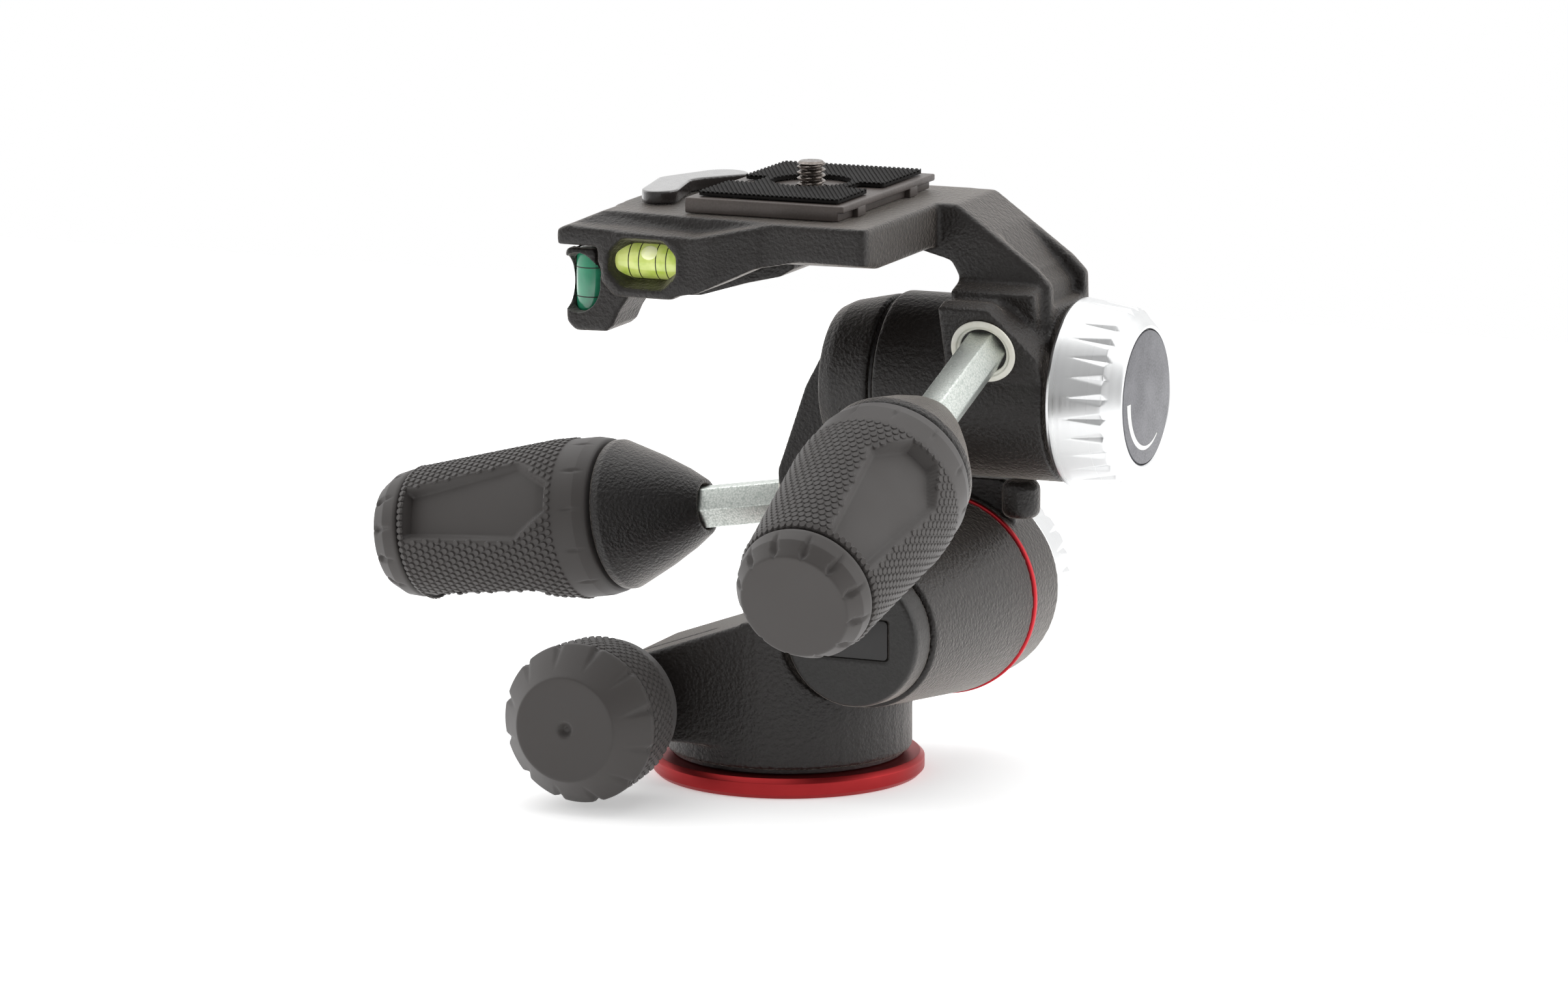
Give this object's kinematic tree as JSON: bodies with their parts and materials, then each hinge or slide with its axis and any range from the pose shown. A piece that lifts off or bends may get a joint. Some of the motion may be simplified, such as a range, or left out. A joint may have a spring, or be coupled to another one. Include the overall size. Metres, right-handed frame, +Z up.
{
  "type": "three way pan tilt head",
  "caption": "Three way pan tilt head with a pan lock knob, extending lever grips, friction knobs, spirit levels and a quick release camera plate.",
  "frame": {"origin": "middle of the whole head's bounding box, at the height of the base disc's underside", "axes": "+Z up along the pan axis, +Y from the viewer's side to the lens side, +X to the right of someone who looks along +Y; the front tilt axis runs along X and the lateral tilt axis along Y"},
  "size_m": [0.1874, 0.1586, 0.1341],
  "materials": {
    "black_powder_coat": "fine leathery powder coat",
    "black_plastic": "satin moulded",
    "dark_rubber": "textured rubber",
    "red_anodised": "satin red anodised",
    "satin_aluminium": "satin turned",
    "zinc_steel": "zinc plated",
    "white_nylon": "plain moulded",
    "grey_disc": "fine grained grey",
    "plate_paint": "satin brown grey",
    "spring_steel": "bright",
    "level_vial": "clear, filled with tinted liquid"
  },
  "bodies": {
    "base": {"base_disc": "red_anodised", "tripod_thread_bush": "zinc_steel", "pan_slip_ring": "white_nylon", "pan_retaining_ring": "zinc_steel"},
    "pan": {"pan_housing": "black_powder_coat", "pan_clamp_nut": "zinc_steel", "lateral_end_cap": "black_plastic", "blank_label_plate": "black_plastic", "red_index_ring": "red_anodised", "lateral_spindle": "satin_aluminium", "lateral_friction_washer": "black_plastic", "lateral_wave_spring": "spring_steel"},
    "pan_knob": {"pan_knob_grip": "dark_rubber", "pan_knob_core": "black_plastic", "pan_lock_screw": "zinc_steel"},
    "lateral_knob": {"lateral_friction_knob": "satin_aluminium", "lateral_knob_disc": "grey_disc"},
    "tilt": {"tilt_bracket": "black_powder_coat", "front_slip_washer": "white_nylon", "front_tilt_spindle": "satin_aluminium", "front_friction_washer": "black_plastic", "front_wave_spring": "spring_steel", "side_clamp_bushing": "white_nylon", "side_clamp_nut": "zinc_steel"},
    "front_knob": {"front_friction_knob": "satin_aluminium", "front_knob_disc": "grey_disc"},
    "side_rod": {"side_lever_rod": "zinc_steel", "side_lever_rod_stop": "black_plastic"},
    "side_grip": {"side_grip_core": "black_plastic", "side_grip_sleeve": "dark_rubber", "side_grip_cap": "dark_rubber"},
    "platform": {"platform_arch": "black_powder_coat", "front_clamp_bushing": "white_nylon", "front_clamp_nut": "zinc_steel", "level_block": "black_plastic", "level_vial": "level_vial", "plumb_vial": "level_vial", "lever_pivot_pin": "zinc_steel", "lever_return_spring": "spring_steel", "mechanism_cover": "black_plastic"},
    "front_rod": {"front_lever_rod": "zinc_steel", "front_lever_rod_stop": "black_plastic"},
    "front_grip": {"front_grip_core": "black_plastic", "front_grip_sleeve": "dark_rubber", "front_grip_cap": "dark_rubber"},
    "camera_plate": {"camera_plate": "plate_paint", "rubber_pad": "dark_rubber"},
    "camera_screw": {"camera_screw": "zinc_steel"},
    "release_lever": {"release_lever": "black_plastic"}
  },
  "joints": [
    {"name": "pan_turn", "type": "hinge", "parent": "base", "child": "pan", "pos_m": [0.02205, 0.02072, 0], "axis": [0, 0, 1], "continuous": true},
    {"name": "pan_lock_turn", "type": "hinge", "parent": "pan", "child": "pan_knob", "pos_m": [-0.00475, -0.01328, 0.0189], "axis": [0, -1, 0], "range_deg": [0, 270]},
    {"name": "lateral_friction_turn", "type": "hinge", "parent": "pan", "child": "lateral_knob", "pos_m": [0.04785, 0.06332, 0.0368], "axis": [0, 1, 0], "range_deg": [0, 270]},
    {"name": "lateral_tilt", "type": "hinge", "parent": "pan", "child": "tilt", "pos_m": [0.04785, 0.02072, 0.0368], "axis": [0, 1, 0], "range_deg": [-90, 30]},
    {"name": "front_friction_turn", "type": "hinge", "parent": "tilt", "child": "front_knob", "pos_m": [0.07765, 0.05272, 0.083], "axis": [1, 0, 0], "range_deg": [0, 270]},
    {"name": "side_lever_twist", "type": "hinge", "parent": "tilt", "child": "side_rod", "pos_m": [0.00745, 0.05872, 0.0529], "axis": [-0.9874, 0, -0.158], "range_deg": [0, 180]},
    {"name": "side_grip_extend", "type": "slide", "parent": "side_rod", "child": "side_grip", "axis": [-0.9874, 0, -0.158], "range_m": [0, 0.044]},
    {"name": "front_tilt", "type": "hinge", "parent": "tilt", "child": "platform", "pos_m": [0.02205, 0.05272, 0.083], "axis": [1, 0, 0], "range_deg": [-90, 12]},
    {"name": "front_lever_twist", "type": "hinge", "parent": "platform", "child": "front_rod", "pos_m": [0.06385, 0.03092, 0.0948], "axis": [0, -0.9459, -0.3244], "range_deg": [0, 180]},
    {"name": "front_grip_extend", "type": "slide", "parent": "front_rod", "child": "front_grip", "axis": [0, -0.9459, -0.3244], "range_m": [0, 0.044]},
    {"name": "release_lever_turn", "type": "hinge", "parent": "platform", "child": "release_lever", "pos_m": [-0.00355, 0.04472, 0.125], "axis": [0, 0, -1], "range_deg": [0, 60], "stiffness_Nm_per_rad": 0.03},
    {"name": "plate_lift", "type": "slide", "parent": "platform", "child": "camera_plate", "axis": [-0.4626, 0, 0.8866], "range_m": [0, 0.006]},
    {"name": "camera_screw_turn", "type": "hinge", "parent": "camera_plate", "child": "camera_screw", "pos_m": [0.02275, 0.03202, 0.1286], "axis": [0, 0, 1], "continuous": true}
  ]
}
